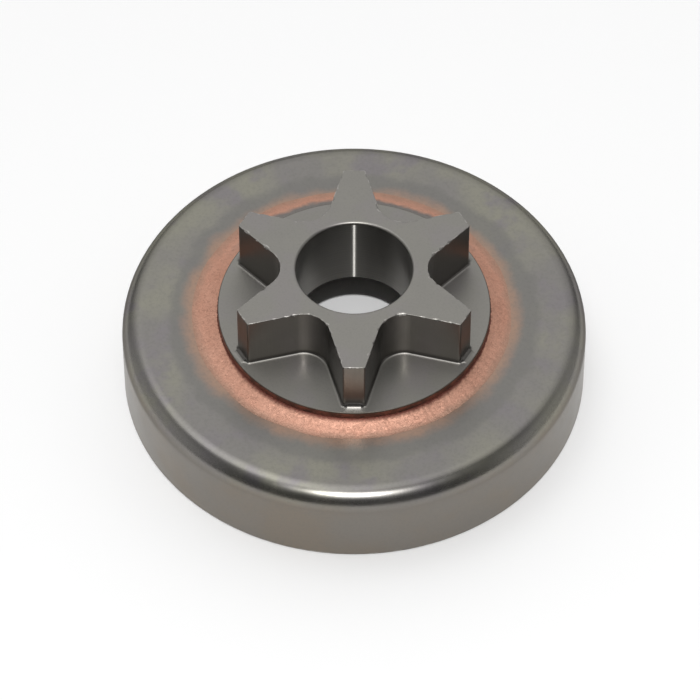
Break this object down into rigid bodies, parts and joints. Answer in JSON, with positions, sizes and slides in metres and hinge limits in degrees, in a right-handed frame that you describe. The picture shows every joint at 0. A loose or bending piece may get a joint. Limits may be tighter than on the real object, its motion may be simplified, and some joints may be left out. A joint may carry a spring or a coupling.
{
  "type": "chainsaw clutch drum",
  "caption": "Steel clutch drum for a chainsaw: a shallow friction cup, open below, with a toothed spur sprocket on a round flange brazed to its plate and a smooth bearing bore.",
  "frame": {"origin": "centre of the open rim, in the plane that the drum stands on", "axes": "+Z along the axis from the open rim to the sprocket, -Y along one tooth"},
  "size_m": [0.0526, 0.0526, 0.0184],
  "materials": {
    "cup_steel": "satin steel with a furnace tone",
    "sprocket_steel": "fine machined hardened steel",
    "braze_copper": "grainy copper braze"
  },
  "bodies": {
    "root": {"drum_cup": "cup_steel", "spur_sprocket": "sprocket_steel", "braze_ring": "braze_copper"}
  },
  "joints": []
}
